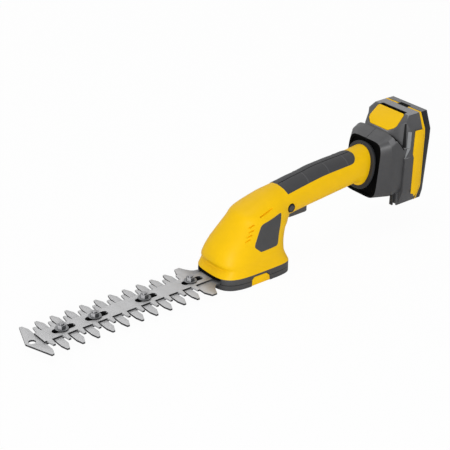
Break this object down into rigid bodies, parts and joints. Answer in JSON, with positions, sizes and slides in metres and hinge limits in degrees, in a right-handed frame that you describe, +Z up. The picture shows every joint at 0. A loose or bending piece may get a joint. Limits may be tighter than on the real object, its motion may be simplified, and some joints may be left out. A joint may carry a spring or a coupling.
{
  "type": "cordless grass shears",
  "caption": "Cordless garden shears with a double-sided reciprocating shrub blade, closed head, gripped handle and slide-on battery pack.",
  "frame": {"origin": "centre of the base cover's bottom face, under the head", "axes": "+X from the blade towards the battery, blade pointing -X; +Y to the tool's far side; +Z up"},
  "size_m": [0.4992, 0.07, 0.1345],
  "materials": {
    "blade_steel": "brushed",
    "fastener_steel": "satin",
    "yellow_plastic": "satin",
    "label_film": "matte",
    "dark_plastic": "satin",
    "black_plastic": "matte",
    "soft_grip": "matte",
    "drive_steel": "satin",
    "bronze": "satin",
    "magnet": "matte",
    "cell_wrap": "satin",
    "board": "satin"
  },
  "bodies": {
    "housing": {"lower_blade": "blade_steel", "blade_bolts": "fastener_steel", "blade_bushes": "fastener_steel", "blade_washers": "fastener_steel", "blade_nuts": "fastener_steel", "tail_screws": "fastener_steel", "base_cover": "black_plastic", "left_release_spring": "fastener_steel", "right_release_spring": "fastener_steel", "left_housing": "yellow_plastic", "right_housing": "yellow_plastic", "housing_screws": "fastener_steel", "left_panel": "dark_plastic", "right_panel": "dark_plastic", "left_grip": "soft_grip", "right_grip": "soft_grip", "gear_plate": "drive_steel", "crank_bush": "bronze", "motor_can": "drive_steel", "motor_magnets": "magnet", "motor_endcap": "black_plastic", "motor_bushes": "bronze", "motor_screws": "fastener_steel", "trigger_pin": "fastener_steel", "trigger_spring": "fastener_steel", "switch_body": "black_plastic", "lock_spring": "fastener_steel", "collar_ring": "dark_plastic", "adapter_plate": "black_plastic", "left_adapter": "dark_plastic", "right_adapter": "dark_plastic", "adapter_screws": "fastener_steel", "rail_plate": "black_plastic", "terminal_block": "black_plastic", "terminal_blades": "bronze"},
    "cutter": {"upper_blade": "blade_steel"},
    "crank": {"crank_gear": "drive_steel", "crank_pin": "drive_steel", "crank_shaft": "drive_steel", "crank_clip": "drive_steel"},
    "roller": {"crank_roller": "drive_steel"},
    "rotor": {"motor_rotor": "drive_steel", "motor_shaft": "drive_steel", "motor_pinion": "drive_steel"},
    "trigger_body": {"trigger": "dark_plastic"},
    "plunger": {"switch_plunger": "black_plastic"},
    "lock": {"lock_button": "dark_plastic"},
    "left_tab": {"left_release": "yellow_plastic"},
    "right_tab": {"right_release": "yellow_plastic"},
    "battery": {"battery_front_case": "dark_plastic", "battery_rear_case": "dark_plastic", "battery_stripe": "yellow_plastic", "battery_labels": "label_film", "battery_cells": "cell_wrap", "cell_holder": "black_plastic", "battery_board": "board", "battery_screws": "fastener_steel", "button_spring": "fastener_steel"},
    "button": {"battery_button": "yellow_plastic"}
  },
  "joints": [
    {"name": "crank_spin", "type": "hinge", "parent": "housing", "child": "crank", "pos_m": [-0.01, 0, 0.018], "axis": [0, 0, 1], "range_deg": [-90, 90]},
    {"name": "blade_slide", "type": "slide", "parent": "housing", "child": "cutter", "axis": [-1, 0, 0], "range_m": [-0.005, 0.005]},
    {"name": "rotor_spin", "type": "hinge", "parent": "housing", "child": "rotor", "pos_m": [0.0124, 0, 0.018], "axis": [0, 0, 1], "range_deg": [-330, 330]},
    {"name": "roller_spin", "type": "hinge", "parent": "crank", "child": "roller", "pos_m": [-0.01, 0.005, 0.012], "axis": [0, 0, 1], "continuous": true},
    {"name": "trigger_pull", "type": "hinge", "parent": "housing", "child": "trigger_body", "pos_m": [0.061, 0, 0.061], "axis": [0, -1, 0], "range_deg": [0, 9], "stiffness_Nm_per_rad": 0.35, "deforming": ["trigger_spring"]},
    {"name": "plunger_press", "type": "slide", "parent": "housing", "child": "plunger", "axis": [0, 0, 1], "range_m": [0, 0.0026]},
    {"name": "lock_press", "type": "slide", "parent": "housing", "child": "lock", "axis": [0, 1, 0], "range_m": [0, 0.003], "stiffness_N_per_m": 400, "deforming": ["lock_spring"]},
    {"name": "left_tab_press", "type": "slide", "parent": "housing", "child": "left_tab", "axis": [0, 1, 0], "range_m": [0, 0.0025], "stiffness_N_per_m": 600, "deforming": ["left_release_spring"]},
    {"name": "right_tab_press", "type": "slide", "parent": "housing", "child": "right_tab", "axis": [0, -1, 0], "range_m": [0, 0.0025], "stiffness_N_per_m": 600, "deforming": ["right_release_spring"]},
    {"name": "battery_slide", "type": "slide", "parent": "housing", "child": "battery", "axis": [0, 0, 1], "range_m": [0, 0.085]},
    {"name": "button_press", "type": "slide", "parent": "battery", "child": "button", "axis": [0.6561, 0, -0.7547], "range_m": [0, 0.0025], "stiffness_N_per_m": 500, "deforming": ["button_spring"]}
  ],
  "couplings": [
    {"joint": "crank_spin", "follows": "blade_slide", "rad_per_m": 314.16},
    {"joint": "rotor_spin", "follows": "blade_slide", "rad_per_m": -1151.9},
    {"joint": "plunger_press", "follows": "trigger_pull", "m_per_rad": 0.016}
  ]
}
